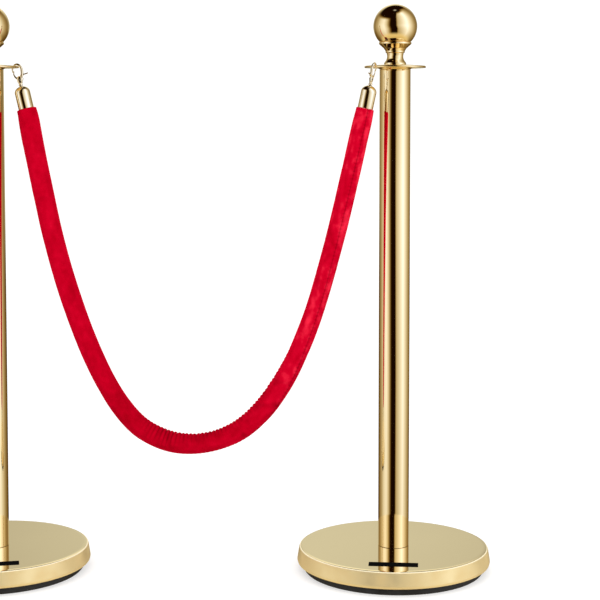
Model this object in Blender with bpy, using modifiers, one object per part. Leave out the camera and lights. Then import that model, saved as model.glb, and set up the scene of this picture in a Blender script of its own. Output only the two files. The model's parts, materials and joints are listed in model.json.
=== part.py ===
"""Two ball-top rope posts with a velvet rope hung between them.

The frame is +Z up, with its origin on the floor midway between the posts and +X from the
left post to the right one. Sizes are in millimetres and become metres through MM.
A hook lies in a frame of its own: x across the hook, towards the trigger's thumb tail,
z up its swivel axis, and the origin at the crown of its ferrule.
"""

import math

import bmesh
import bpy
from mathutils import Matrix, Vector

MM = 0.001
GAP = 0.3

# Posts
POST_SPACING = 668.0
BASE_RADIUS = 160.0
BASE_TOP_RADIUS = 157.0
BASE_TOP = 40.0
COVER_SKIRT = 13.0
COVER_WALL = 1.5
BOOT_RADIUS = 149.0
WEIGHT_RADIUS = 156.0
TUBE_RADIUS = 25.5
TUBE_WALL = 1.2
TUBE_TOP = 830.7
BOLT_RADIUS = 5.7
STUD_RADIUS = 5.0
STUD_HOLE = 5.4

# Ring plate under the finial
PLATE_RADIUS = 50.5
PLATE_RIM_BOTTOM = 832.3
PLATE_RIM_TOP = 836.7
PLATE_HUB_TOP = 838.0
HUB_EDGE = 30.5
HUB_FOOT = 34.0
HOOK_HOLE_RADIUS = 6.2
HOOK_HOLE_CIRCLE = 40.5
HOOK_HOLES = 4
PLATE_TURN = {"left": 0.0, "right": 41.0}

# Finial
BALL_RADIUS = 36.0
BALL_CENTRE = 901.2
BALL_WALL = 1.2

# Blank plate on the base, at LABEL_TURN round the post from its front
LABEL_SIZE = (79.0, 22.0, 0.5)
LABEL_REACH = 117.0
LABEL_TURN = {"left": 11.6, "right": -3.5}

# Rope. A hook bears on its plate's rim at REST_RADIUS from the post's axis.
REST_RADIUS = 48.8
REST_TURN = {"left": 0.0, "right": 43.0}
REST_HEIGHT = PLATE_RIM_TOP + 0.6
ROPE_RADIUS = 16.5
ROPE_SPAN_STEPS = 2
ROPE_LEAD = (0.7, 14.0)
FERRULE_RADIUS = 12.6
FERRULE_LENGTH = 37.0
FERRULE_WALL = 1.3
CROWN_HEIGHT = 10.5

# Ends of the rope: the ferrule's lean from upright, the turn of the hook about its swivel
# and the place of the ferrule's crown from the point where its hook bears on the plate.
ENDS = {
    "left": {"lean": -13.0, "hook_turn": 0.0, "crown": (5.3, -34.1)},
    "right": {"lean": 12.0, "hook_turn": 245.0, "crown": (-6.7, -33.5)},
}

# The rope's centreline between its ferrules, as (along the rope's plane, height).
ROUTE = [
    (-270.0, 723.0),
    (-260.0, 671.0),
    (-249.5, 619.0),
    (-238.5, 567.0),
    (-225.5, 516.0),
    (-210.5, 465.0),
    (-193.5, 415.0),
    (-174.0, 366.0),
    (-151.5, 318.5),
    (-123.5, 273.5),
    (-87.0, 236.0),
    (-37.0, 214.0),
    (16.0, 213.5),
    (66.5, 232.0),
    (107.5, 266.5),
    (139.5, 309.5),
    (165.0, 356.0),
    (185.5, 405.0),
    (202.5, 455.0),
    (217.0, 505.5),
    (230.5, 556.5),
    (243.0, 607.5),
    (254.7, 658.7),
    (265.7, 710.0),
]

# Hook, in its own frame. Claw and trigger points are (x, z, half of the thickness).
CLAW = [
    (4.2, 15.0, 2.2),
    (6.3, 19.0, 2.1),
    (7.2, 24.0, 2.0),
    (7.2, 29.2, 1.8),
    (5.6, 33.9, 1.55),
    (1.2, 36.8, 1.4),
    (-3.5, 35.4, 1.3),
    (-7.0, 30.6, 1.2),
    (-8.0, 25.6, 0.9),
]
TRIGGER_GATE = [
    (-5.7, 26.2, 0.75),
    (-6.8, 23.0, 0.9),
    (-6.8, 19.9, 1.1),
    (-5.2, 16.1, 1.3),
    (-2.0, 12.8, 1.5),
    (1.5, 10.5, 1.6),
]
TRIGGER_TAIL = [
    (1.5, 10.5, 1.6),
    (4.2, 13.2, 1.4),
    (6.2, 16.4, 1.2),
    (9.0, 18.2, 1.0),
    (12.5, 18.4, 0.9),
    (15.9, 19.0, 0.8),
]
SPRING_LEAF = [
    (-2.4, 7.0, 0.25),
    (-0.6, 6.2, 0.25),
    (2.0, 6.15, 0.25),
    (4.2, 7.4, 0.25),
    (5.3, 9.4, 0.25),
    (5.9, 11.4, 0.25),
    (6.8, 13.3, 0.25),
    (7.6, 14.9, 0.25),
]
PIVOT = (1.5, 10.5)
PIN_RADIUS = 1.0
BODY_CENTRE = (0.5, 10.5)
BODY_HALF = (5.3, 7.5)
BODY_THICKNESS = 4.6
SLOT_WIDTH = 2.4
SLOT_HEIGHTS = (5.5, 20.3)
HUB_THICKNESS = 1.8
GATE_THICKNESS = 1.6
TAIL_THICKNESS = 1.4
HUB_RADIUS = 3.2
SHANK_RADIUS = 2.0

WIDE_STEPS = 32
TUBE_STEPS = 24
SMALL_STEPS = 12


def clear_scene():
    for obj in list(bpy.data.objects):
        bpy.data.objects.remove(obj)


def new_collection(name):
    collection = bpy.data.collections.new(name)
    bpy.context.scene.collection.children.link(collection)
    return collection


def new_material(name, colour, roughness, metallic):
    material = bpy.data.materials.new(name)
    material.use_nodes = True
    shader = material.node_tree.nodes["Principled BSDF"]
    shader.inputs["Base Color"].default_value = (*colour, 1.0)
    shader.inputs["Roughness"].default_value = roughness
    shader.inputs["Metallic"].default_value = metallic
    return material


clear_scene()
PARTS = new_collection("rope_stanchion_pair")
CUTTERS = new_collection("cutters")
MATERIALS = {
    "gold": new_material("polished_gold", (0.83, 0.64, 0.30), 0.08, 1.0),
    "steel": new_material("zinc_steel", (0.60, 0.60, 0.58), 0.35, 1.0),
    "iron": new_material("cast_iron", (0.12, 0.12, 0.12), 0.70, 0.6),
    "rubber": new_material("black_rubber", (0.02, 0.02, 0.02), 0.75, 0.0),
    "label": new_material("black_label", (0.01, 0.01, 0.01), 0.40, 0.0),
    "velvet": new_material("red_velvet", (0.60, 0.0, 0.015), 0.90, 0.0),
    "cotton": new_material("cotton_core", (0.75, 0.70, 0.60), 0.95, 0.0),
}


def place(obj, finish, parent, location=(0, 0, 0), turn=0.0):
    """Puts the object on its parent, with its material and smooth round faces."""
    obj.parent = parent
    obj.location = Vector(location) * MM
    obj.rotation_euler.z = math.radians(turn)
    obj.data.materials.clear()
    obj.data.materials.append(MATERIALS[finish])
    PARTS.objects.link(obj)
    return obj


def as_cutter(obj, parent):
    """Makes the object a hidden helper of the piece that it cuts or joins."""
    obj.parent = parent
    obj.hide_render = True
    obj.display_type = "WIRE"
    CUTTERS.objects.link(obj)
    return obj


def new_empty(name, parent=None, location=(0, 0, 0), rotation=(0, 0, 0)):
    """An axis or a frame: location in millimetres, rotation in degrees."""
    empty = bpy.data.objects.new(name, None)
    empty.empty_display_size = 20 * MM
    empty.parent = parent
    empty.location = Vector(location) * MM
    empty.rotation_euler = [math.radians(angle) for angle in rotation]
    PARTS.objects.link(empty)
    return empty


def rounded(corners, arc_steps=2):
    """The outline through corners (x, z, radius), each one rounded to its radius."""
    points = []
    for index, (x, z, radius) in enumerate(corners):
        corner = Vector((x, z))
        if radius == 0:
            points.append(tuple(corner))
            continue
        back = (Vector(corners[index - 1][:2]) - corner).normalized()
        ahead = (Vector(corners[(index + 1) % len(corners)][:2]) - corner).normalized()
        half = back.angle(ahead) / 2
        centre = corner + (back + ahead).normalized() * radius / math.sin(half)
        start = corner + back * radius / math.tan(half) - centre
        end = corner + ahead * radius / math.tan(half) - centre
        sweep = math.atan2(start.x * end.y - start.y * end.x, start.dot(end))
        for step in range(arc_steps + 1):
            angle = math.atan2(start.y, start.x) + sweep * step / arc_steps
            points.append((centre.x + radius * math.cos(angle), centre.y + radius * math.sin(angle)))
    return points


def turned(name, profile, steps=WIDE_STEPS, ring=False):
    """Turns a profile of (radius, height) about Z. A ring's profile is a closed loop."""
    mesh = bpy.data.meshes.new(name)
    count = len(profile)
    edges = [(index, index + 1) for index in range(count - 1)]
    if ring:
        edges.append((count - 1, 0))
    mesh.from_pydata([(r * MM, 0, z * MM) for r, z in profile], edges, [])
    obj = bpy.data.objects.new(name, mesh)
    screw = obj.modifiers.new("Turn", "SCREW")
    screw.steps = steps
    screw.render_steps = steps
    screw.use_merge_vertices = True
    screw.merge_threshold = 0.00001
    return obj


def tube_ring(name, outer, inner, bottom, top, steps=WIDE_STEPS, edge=0.0):
    """A plain turned ring, with its outer edges rounded."""
    corners = [(outer, top, edge), (outer, bottom, edge), (inner, bottom, 0), (inner, top, 0)]
    return turned(name, rounded(corners), steps, ring=True)


def smooth(points, steps):
    """Points read from a smooth curve through the given ones (Catmull-Rom)."""
    vectors = [Vector(point) for point in points]
    ends = [2 * vectors[0] - vectors[1], *vectors, 2 * vectors[-1] - vectors[-2]]
    found = []
    for a, b, c, d in zip(ends, ends[1:], ends[2:], ends[3:]):
        for step in range(steps):
            t = step / steps
            found.append(
                (2 * b + (c - a) * t + (2 * a - 5 * b + 4 * c - d) * t**2 + (3 * b - a - 3 * c + d) * t**3) / 2
            )
    return [*found, vectors[-1]]


def curve_mesh(obj):
    """A mesh object of the same shape and place as a curve object, with its caps welded."""
    PARTS.objects.link(obj)
    graph = bpy.context.evaluated_depsgraph_get()
    mesh = bpy.data.meshes.new_from_object(obj.evaluated_get(graph))
    shape = bmesh.new()
    shape.from_mesh(mesh)
    bmesh.ops.remove_doubles(shape, verts=shape.verts, dist=0.000001)
    bmesh.ops.recalc_face_normals(shape, faces=shape.faces)
    shape.transform(obj.matrix_basis)
    shape.to_mesh(mesh)
    shape.free()
    made = bpy.data.objects.new(obj.name + "_mesh", mesh)
    bpy.data.objects.remove(obj)
    return made


def round_bar(name, points, sides=2):
    """A bar of round section along points of (x, z, radius)."""
    curve = bpy.data.curves.new(name, "CURVE")
    curve.dimensions = "3D"
    curve.bevel_depth = MM
    curve.bevel_resolution = sides
    curve.use_fill_caps = True
    spline = curve.splines.new("POLY")
    spline.points.add(len(points) - 1)
    for point, (x, z, radius) in zip(spline.points, points):
        point.co = (x * MM, 0, z * MM, 1)
        point.radius = radius
    return bpy.data.objects.new(name, curve)


def flat_plate(name, outline, thickness):
    """A flat piece in the XZ plane, from its outline and its whole thickness."""
    curve = bpy.data.curves.new(name, "CURVE")
    curve.dimensions = "2D"
    curve.fill_mode = "BOTH"
    curve.extrude = thickness / 2 * MM
    spline = curve.splines.new("POLY")
    spline.points.add(len(outline) - 1)
    spline.use_cyclic_u = True
    for point, (x, z) in zip(spline.points, outline):
        point.co = (x * MM, z * MM, 0, 1)
    obj = bpy.data.objects.new(name, curve)
    obj.rotation_euler.x = math.radians(90)
    return curve_mesh(obj)


def ribbon(points, cap_steps=3):
    """The outline of a strip along points of (x, z, half width), with round ends."""
    middle = smooth(points, 2)
    sides = ([], [])
    for index, point in enumerate(middle):
        along = (middle[min(index + 1, len(middle) - 1)] - middle[max(index - 1, 0)]).xy.normalized()
        across = Vector((-along.y, along.x)) * point.z
        sides[0].append(point.xy + across)
        sides[1].append(point.xy - across)
    caps = []
    for centre, start in ((middle[-1].xy, sides[0][-1]), (middle[0].xy, sides[1][0])):
        turns = [Matrix.Rotation(-math.pi * step / cap_steps, 2) for step in range(1, cap_steps)]
        caps.append([centre + turn @ (start - centre) for turn in turns])
    return [tuple(point) for point in [*sides[0], *caps[0], *reversed(sides[1]), *caps[1]]]


def ellipse(centre, half, steps=SMALL_STEPS):
    angles = [2 * math.pi * step / steps for step in range(steps)]
    return [(centre[0] + half[0] * math.cos(a), centre[1] + half[1] * math.sin(a)) for a in angles]


def cross_rod(name, centre, radius, length):
    """A rod across the hook, along Y, at (x, z)."""
    return flat_plate(name, ellipse(centre, (radius, radius)), length)


def combine(obj, other, parent, operation):
    """Cuts the other solid from the object, or joins it on."""
    boolean = obj.modifiers.new(other.name, "BOOLEAN")
    boolean.object = as_cutter(other, parent)
    boolean.operation = operation


# ---------------------------------------------------------------- posts


def make_base(side, post):
    boot = rounded(
        [(BOOT_RADIUS, 12.7, 1.5), (BOOT_RADIUS, 0, 2), (24, 0, 0), (24, 3, 0), (137, 3, 0), (137, 12.7, 0)]
    )
    place(turned(f"{side}_rubber_boot", boot, ring=True), "rubber", post)

    hub_top = BASE_TOP - COVER_WALL - GAP
    weight = [
        (40, hub_top),
        (46, 21),
        (WEIGHT_RADIUS, 20),
        (WEIGHT_RADIUS, 13.3),
        (136.5, 13.3),
        (136.5, 3.3),
        (21, 3.3),
        (21, 13),
        (6.5, 13),
        (6.5, hub_top),
    ]
    place(turned(f"{side}_base_weight", weight, ring=True), "iron", post)

    cover = rounded(
        [
            (BASE_TOP_RADIUS, BASE_TOP, 3.5),
            (BASE_RADIUS + 0.3, 16, 2.5),
            (BASE_RADIUS - 1.8, COVER_SKIRT, 0),
            (BASE_RADIUS - 3.2, COVER_SKIRT, 0),
            (BASE_RADIUS - 1.3, 16.8, 1.5),
            (BASE_TOP_RADIUS - COVER_WALL, BASE_TOP - COVER_WALL, 2),
            (7, BASE_TOP - COVER_WALL, 0),
            (7, BASE_TOP, 0),
        ]
    )
    place(turned(f"{side}_base_cover", cover, ring=True), "gold", post)

    head = turned(f"{side}_base_bolt", [(0, 10.6), (9.5, 10.6), (9.5, 3.6), (0, 3.6)], steps=6)
    shank = turned(f"{side}_bolt_shank", [(0, 52), (BOLT_RADIUS, 52), (BOLT_RADIUS, 9), (0, 9)], SMALL_STEPS)
    place(head, "steel", post)
    combine(head, shank, post, "UNION")
    place(tube_ring(f"{side}_base_washer", 17, 6.3, 11, 12.7, SMALL_STEPS), "steel", post)

    label = bpy.data.meshes.new(f"{side}_base_label")
    shape = bmesh.new()
    bmesh.ops.create_cube(shape, size=MM)
    bmesh.ops.scale(shape, verts=shape.verts, vec=LABEL_SIZE)
    shape.to_mesh(label)
    shape.free()
    turn = LABEL_TURN[side]
    spot = Matrix.Rotation(math.radians(turn), 3, "Z") @ Vector((0, -LABEL_REACH, 0))
    spot.z = BASE_TOP + GAP + LABEL_SIZE[2] / 2
    place(bpy.data.objects.new(label.name, label), "label", post, spot, turn)


def make_tube(side, post):
    bottom = BASE_TOP + GAP
    bore = TUBE_RADIUS - TUBE_WALL
    place(tube_ring(f"{side}_tube_foot_plug", bore - GAP, BOLT_RADIUS + 0.4, bottom, 56, TUBE_STEPS), "steel", post)
    place(tube_ring(f"{side}_post_tube", TUBE_RADIUS, bore, bottom, TUBE_TOP, TUBE_STEPS), "gold", post)
    place(tube_ring(f"{side}_tube_top_plug", bore - GAP, STUD_HOLE, 811, TUBE_TOP, TUBE_STEPS), "steel", post)


def make_ring_plate(side, post):
    """A disc with a thick hub, a rounded rim and a circle of holes for the hooks."""
    turn = PLATE_TURN[side]
    profile = rounded(
        [
            (HUB_EDGE, PLATE_HUB_TOP, 0),
            (HUB_FOOT, PLATE_RIM_TOP, 0),
            (PLATE_RADIUS, PLATE_RIM_TOP, 1.8),
            (PLATE_RADIUS, PLATE_RIM_BOTTOM, 1.8),
            (HUB_FOOT, PLATE_RIM_BOTTOM, 0),
            (HUB_EDGE, TUBE_TOP + GAP, 0),
            (STUD_HOLE, TUBE_TOP + GAP, 0),
            (STUD_HOLE, PLATE_HUB_TOP, 0),
        ]
    )
    plate = place(turned(f"{side}_ring_plate", profile, ring=True), "gold", post, turn=turn)
    for index in range(HOOK_HOLES):
        angle = 2 * math.pi * index / HOOK_HOLES
        drill = [(0, 845), (HOOK_HOLE_RADIUS, 845), (HOOK_HOLE_RADIUS, 825), (0, 825)]
        cutter = turned(f"{side}_hole_{index}", drill, SMALL_STEPS)
        cutter.location = Vector((math.cos(angle), math.sin(angle), 0)) * HOOK_HOLE_CIRCLE * MM
        combine(plate, cutter, plate, "DIFFERENCE")


def make_finial(side, post):
    stud = [(0, 879), (STUD_RADIUS, 879), (STUD_RADIUS, 814), (0, 814)]
    place(turned(f"{side}_finial_stud", stud, SMALL_STEPS), "steel", post)

    seat_radius = BALL_RADIUS + GAP
    seat_angles = [math.radians(angle) for angle in (15.9, 22, 28, 34, 40, 44.5)]
    seat = [(seat_radius * math.sin(a), BALL_CENTRE - seat_radius * math.cos(a)) for a in seat_angles]
    outside = rounded(
        [
            (seat[-1][0], seat[-1][1], 0),
            (26.6, 875.0, 0),
            (26.6, 872.6, 0),
            (18.6, 865.2, 6),
            (15.7, 860.8, 3),
            (15.7, 858.6, 0),
            (14.4, 857.9, 0),
            (12.7, 849.5, 9),
            (18.0, 841.2, 0),
            (18.0, PLATE_HUB_TOP + GAP, 0),
            (STUD_HOLE, PLATE_HUB_TOP + GAP, 0),
            (STUD_HOLE, 865.7, 0),
        ]
    )
    place(turned(f"{side}_finial_neck", [*outside, *seat[:-1]], TUBE_STEPS, ring=True), "gold", post)

    mouth = math.radians(15)
    outer = [math.pi - (math.pi - mouth) * step / 10 for step in range(11)]
    inner_radius = BALL_RADIUS - BALL_WALL
    ball = [(BALL_RADIUS * math.sin(a), BALL_CENTRE - BALL_RADIUS * math.cos(a)) for a in outer]
    ball += [(inner_radius * math.sin(a), BALL_CENTRE - inner_radius * math.cos(a)) for a in reversed(outer)]
    ball[0] = (0, BALL_CENTRE + BALL_RADIUS)
    ball[-1] = (0, BALL_CENTRE + inner_radius)
    place(turned(f"{side}_finial_ball", ball, TUBE_STEPS), "gold", post)
    place(tube_ring(f"{side}_ball_nut", 10, STUD_HOLE, 869, 877, SMALL_STEPS), "steel", post)


def make_post(side, x):
    post = new_empty(f"{side}_post_axis", location=(x, 0, 0))
    make_base(side, post)
    make_tube(side, post)
    make_ring_plate(side, post)
    make_finial(side, post)


# ---------------------------------------------------------------- rope


def rest_point(side, x):
    """Where the hook bears on the rim of its plate, seen from above."""
    angle = math.radians(REST_TURN[side])
    reach = REST_RADIUS * math.cos(angle)
    return Vector((x + reach if side == "left" else x - reach, -REST_RADIUS * math.sin(angle)))


def crown_point(side, half_span):
    """The ferrule's crown in the rope's plane, as (along the plane, height)."""
    x = -half_span if side == "left" else half_span
    return (x + ENDS[side]["crown"][0], REST_HEIGHT + ENDS[side]["crown"][1])


def ferrule_mouth(side, half_span, beyond):
    """A point on the ferrule's axis, beyond its mouth."""
    lean = math.radians(ENDS[side]["lean"])
    x, z = crown_point(side, half_span)
    depth = FERRULE_LENGTH + beyond
    return (x - depth * math.sin(lean), z - depth * math.cos(lean))


def make_ferrule(side, end):
    """A bullet-shaped cup with the swivel's hole in its crown, and the core's end in it."""
    quarter = [math.pi / 2 * step / 5 for step in range(6)]

    def crown(radius, height, top, hole):
        arc = [(radius * math.sin(a), top - height * (1 - math.cos(a))) for a in quarter]
        start = top - height * (1 - math.sqrt(1 - (hole / radius) ** 2))
        return [(hole, start), *[point for point in arc if point[0] > hole + 0.5]]

    hole = SHANK_RADIUS + 0.4
    inner = FERRULE_RADIUS - FERRULE_WALL
    outside = [*crown(FERRULE_RADIUS, CROWN_HEIGHT, 0, hole), (FERRULE_RADIUS, -FERRULE_LENGTH)]
    inside = [*crown(inner, CROWN_HEIGHT - FERRULE_WALL, -FERRULE_WALL, hole), (inner, -FERRULE_LENGTH)]
    profile = [*outside, *reversed(inside)]
    place(turned(f"{side}_ferrule", profile, TUBE_STEPS, ring=True), "gold", end)

    top, bottom = -12, -FERRULE_LENGTH
    radius = inner - GAP
    core = [(0, top), (radius, top), (radius, bottom), (0, bottom)]
    place(turned(f"{side}_core_end", core, SMALL_STEPS), "cotton", end)


def make_hook(side, hook):
    """A lobster-claw hook: claw, slotted body and shank in one casting."""
    oval = flat_plate(f"{side}_hook_body", ellipse(BODY_CENTRE, BODY_HALF, TUBE_STEPS), BODY_THICKNESS)
    oval.name = f"{side}_hook_body"
    body = place(oval, "gold", hook)
    claw = curve_mesh(round_bar(f"{side}_claw", smooth(CLAW, 2)))
    combine(body, claw, hook, "UNION")
    shank = rounded(
        [(0, 5.0, 0), (SHANK_RADIUS, 5.0, 0), (3.3, 3.2, 0.5), (3.3, 0.9, 0.5), (SHANK_RADIUS, 0.4, 0)]
    )
    shank += [(SHANK_RADIUS, -5.2), (0, -5.2)]
    combine(body, turned(f"{side}_shank", shank, SMALL_STEPS), hook, "UNION")

    low, high = SLOT_HEIGHTS
    slot = [(-12, low), (12, low), (12, high), (-12, high)]
    combine(body, flat_plate(f"{side}_slot", slot, SLOT_WIDTH), hook, "DIFFERENCE")
    hole = cross_rod(f"{side}_pin_hole", PIVOT, PIN_RADIUS + GAP, 8)
    combine(body, hole, hook, "DIFFERENCE")

    collar = tube_ring(f"{side}_swivel_collar", 5, SHANK_RADIUS + GAP, -4.8, -2.8, SMALL_STEPS)
    place(collar, "steel", hook)

    pin = cross_rod(f"{side}_trigger_pin", PIVOT, PIN_RADIUS, BODY_THICKNESS + 2 * GAP + 0.4)
    pin.name = f"{side}_trigger_pin"
    place(pin, "steel", hook)
    for face, way in (("front", -1), ("back", 1)):
        head = cross_rod(f"{side}_{face}_rivet", PIVOT, 1.9, 0.7)
        head.location.y = way * (BODY_THICKNESS / 2 + GAP + 0.35) * MM
        combine(pin, head, hook, "UNION")

    leaf = flat_plate(f"{side}_trigger_spring", ribbon(SPRING_LEAF), GATE_THICKNESS)
    leaf.name = f"{side}_trigger_spring"
    place(leaf, "steel", hook)


def make_trigger(side, hook):
    """The trigger, whose gate closes the claw and whose tail is the thumb's. It turns on the pin."""
    pivot = new_empty(f"{side}_trigger_pivot", hook, (PIVOT[0], 0, PIVOT[1]))
    here = Vector((-PIVOT[0], 0, -PIVOT[1])) * MM
    trigger = cross_rod(f"{side}_trigger", PIVOT, HUB_RADIUS, HUB_THICKNESS)
    trigger.name = f"{side}_trigger"
    place(trigger, "gold", pivot, here / MM)
    arms = (("gate", TRIGGER_GATE, GATE_THICKNESS), ("tail", TRIGGER_TAIL, TAIL_THICKNESS))
    for name, points, thickness in arms:
        arm = flat_plate(f"{side}_{name}", ribbon(points), thickness)
        arm.location = here
        combine(trigger, arm, pivot, "UNION")
    bore = cross_rod(f"{side}_trigger_bore", PIVOT, PIN_RADIUS + GAP, 8)
    bore.location = here
    combine(trigger, bore, pivot, "DIFFERENCE")


def make_rope():
    rests = {"left": rest_point("left", -POST_SPACING / 2), "right": rest_point("right", POST_SPACING / 2)}
    span = rests["right"] - rests["left"]
    middle = (rests["left"] + rests["right"]) / 2
    half_span = span.length / 2
    heading = math.degrees(math.atan2(span.y, span.x))
    plane = new_empty("rope_plane", location=(middle.x, middle.y, 0), rotation=(0, 0, heading))

    starts = [ferrule_mouth("left", half_span, beyond) for beyond in ROPE_LEAD]
    finishes = [ferrule_mouth("right", half_span, beyond) for beyond in reversed(ROPE_LEAD)]
    route = [*starts, *ROUTE, *finishes]
    points = smooth([(x, z, ROPE_RADIUS) for x, z in route], ROPE_SPAN_STEPS)
    rope = curve_mesh(round_bar("rope", points, sides=3))
    rope.name = "velvet_rope"
    place(rope, "velvet", plane)

    for side, end_facts in ENDS.items():
        x, z = crown_point(side, half_span)
        end = new_empty(f"{side}_rope_end", plane, (x, 0, z), (0, end_facts["lean"], 0))
        make_ferrule(side, end)
        hook = new_empty(f"{side}_hook_swivel", end, rotation=(0, 0, end_facts["hook_turn"]))
        make_hook(side, hook)
        make_trigger(side, hook)


make_post("left", -POST_SPACING / 2)
make_post("right", POST_SPACING / 2)
make_rope()
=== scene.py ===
"""Looks of the rope stanchion pair: polished gold posts, cast snap hooks and a velvet rope.

The scene is in metres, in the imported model's frame: +Z up, with the origin on the floor midway
between the posts. Turned profiles are (radius, height) in millimetres, and the pieces of a hook
lie in the hook's own frame, with z up its swivel and the origin at its ferrule's crown.
"""

import json
import math

import bmesh
import bpy
import numpy as np
from mathutils import Matrix, Vector, noise

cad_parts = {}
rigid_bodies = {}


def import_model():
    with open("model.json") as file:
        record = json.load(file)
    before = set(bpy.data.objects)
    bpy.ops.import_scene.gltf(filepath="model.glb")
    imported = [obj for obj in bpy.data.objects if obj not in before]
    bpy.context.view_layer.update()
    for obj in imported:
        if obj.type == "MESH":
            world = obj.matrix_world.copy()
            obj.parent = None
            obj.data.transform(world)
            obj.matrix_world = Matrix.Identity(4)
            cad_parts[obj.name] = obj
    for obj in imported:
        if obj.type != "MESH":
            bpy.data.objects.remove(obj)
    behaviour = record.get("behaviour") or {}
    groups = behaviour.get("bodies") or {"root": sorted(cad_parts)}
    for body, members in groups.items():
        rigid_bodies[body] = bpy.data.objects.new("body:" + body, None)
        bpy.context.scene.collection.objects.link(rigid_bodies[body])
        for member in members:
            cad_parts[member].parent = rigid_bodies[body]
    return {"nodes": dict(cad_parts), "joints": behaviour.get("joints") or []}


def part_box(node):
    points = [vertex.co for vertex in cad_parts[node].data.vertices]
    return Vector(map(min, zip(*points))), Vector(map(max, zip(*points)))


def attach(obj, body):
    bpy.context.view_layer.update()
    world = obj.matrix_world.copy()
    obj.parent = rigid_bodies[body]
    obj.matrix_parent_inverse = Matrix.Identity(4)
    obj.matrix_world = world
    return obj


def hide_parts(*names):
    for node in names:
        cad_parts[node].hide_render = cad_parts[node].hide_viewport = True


MM = 0.001
SIDES = ("left", "right")

# Camera
CAMERA_PLACE = (0.178, -2.5, 0.75)
CAMERA_DOWN = 3.435
CAMERA_LENS = 91.1
CAMERA_SHIFT = -0.15

# Lights, as (name, place, power)
LIGHTS = [
    ("right_box", (2.6, -2.2, 1.9), 26.0),
    ("left_box", (-2.4, -2.4, 1.6), 18.0),
]
LIGHT_SIZE = 1.6
LIGHT_AIM = (0, 0, 0.5)

# Studio. Azimuth 0 is in front of the object and 90 is at its right, as the camera sees it.
# GLOW_ROUND is the soft boxes' level by azimuth, and GLOW_TOPS the elevation where they end.
DOME_RADIUS = 12.0
DOME_HEIGHT = 0.8
WORLD_LIGHT = 1.1
FLOOR_SIZE = 60.0
FLOOR_GLOW = 0.5
GLOW_ROUND = [
    (-180, 0.09),
    (-160, 0.12),
    (-141, 0.20),
    (-126, 0.40),
    (-110, 0.53),
    (-96, 0.80),
    (-84, 0.97),
    (-66, 1.10),
    (-50, 0.78),
    (-42, 0.49),
    (-34, 0.17),
    (-27, 0.012),
    (2.5, 0.008),
    (6.5, 0.36),
    (11, 0.62),
    (30, 0.89),
    (45, 1.10),
    (62, 1.33),
    (78, 1.04),
    (95, 0.75),
    (110, 0.50),
    (124, 0.33),
    (140, 0.20),
    (160, 0.11),
    (180, 0.09),
]
GLOW_TOPS = [
    (-180, 28),
    (-141, 33),
    (-45, 36),
    (-20, 38),
    (4, 52),
    (15, 68),
    (120, 68),
    (150, 45),
    (180, 28),
]
TOP_SOFTNESS = 16.0
GLOW_POWERS = (1.0, 1.27, 1.95)
CEILING_GLOW = 0.010
OVERHEAD_GLOW = 0.6
OVERHEAD_WIDTH = 4.0

# Low down the boxes turn to the right, as (elevation, turn), and dim. At the four BOX_ELEVATIONS
# their level is multiplied by LOWEST_SHARE of LOW_SHARE (by azimuth), LOW_SHARE, 1 and HIGH_SHARE.
GLOW_TURN = [(-15, 6), (2, 0)]
BOX_ELEVATIONS = (-38, -13, 2, 14)
LOW_SHARE = [(-90, 1.0), (20, 0.88)]
LOWEST_SHARE = 0.8
HIGH_SHARE = 0.95

# Ground and backdrop, with levels by elevation and edges as (elevation, softness)
GROUND_EDGE = (41.0, 22.0)
GROUND_LEVELS = [(-85, 0.56), (-65, 0.68), (-45, 0.86), (-30, 1.0)]
GROUND_TINT = (1.0, 0.84, 0.47)
BACKDROP_WIDTH = 26.0
BACKDROP_FOOT = (-5.0, 6.0)
BACKDROP_TOP = (40.0, 12.0)
BACKDROP_LEVELS = [(16, 0.66), (24, 1.0)]
BACKDROP_TINT = (1.0, 0.93, 0.66)

# Posts
GOLD = (1.0, 0.83, 0.52)
PALE_GOLD = (1.0, 0.90, 0.70)
DEEP_GOLD = (1.0, 0.83, 0.47)
# a near-diffuse pale gold for the base's top edge: a painted highlight, lit by the white surround into a
# bright line
EDGE_HIGHLIGHT_GOLD = (1.0, 0.88, 0.60)
WIDE = 160
NARROW = 96
BASE_TOP = 40.0
BASE_SHOULDER = [(144, 40.0), (149, 39.95), (152, 39.7), (154.4, 39.2), (156.4, 37.9), (157.4, 35.6)]
RIM_RADIUS = 153.0
RIM_HEIGHT = 12.9
# Normal heights below which rim faces take the satin wall and the painted edge highlight
WALL_SLOPE = 0.6
HIGHLIGHT_EDGE_SLOPE = 0.9
TUBE_WALL = 1.2
BALL_RADIUS = 36.0
BALL_CENTRE = 901.2
BALL_WALL = 1.2
BALL_MOUTH = 15.0
BALL_STEPS = 64
SEAT_ANGLES = (16.0, 44.5)
SEAT_STEPS = 20
SEAT_CLEARANCE = 0.3
HOLE_RADIUS = 6.2
HOLE_CIRCLE = 40.5
PLATE_TURN = {"left": 0.0, "right": 41.0}
LABEL_SIZE = (79.0, 22.0, 0.5)
LABEL_TURN = {"left": 11.6, "right": -4.8}

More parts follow.
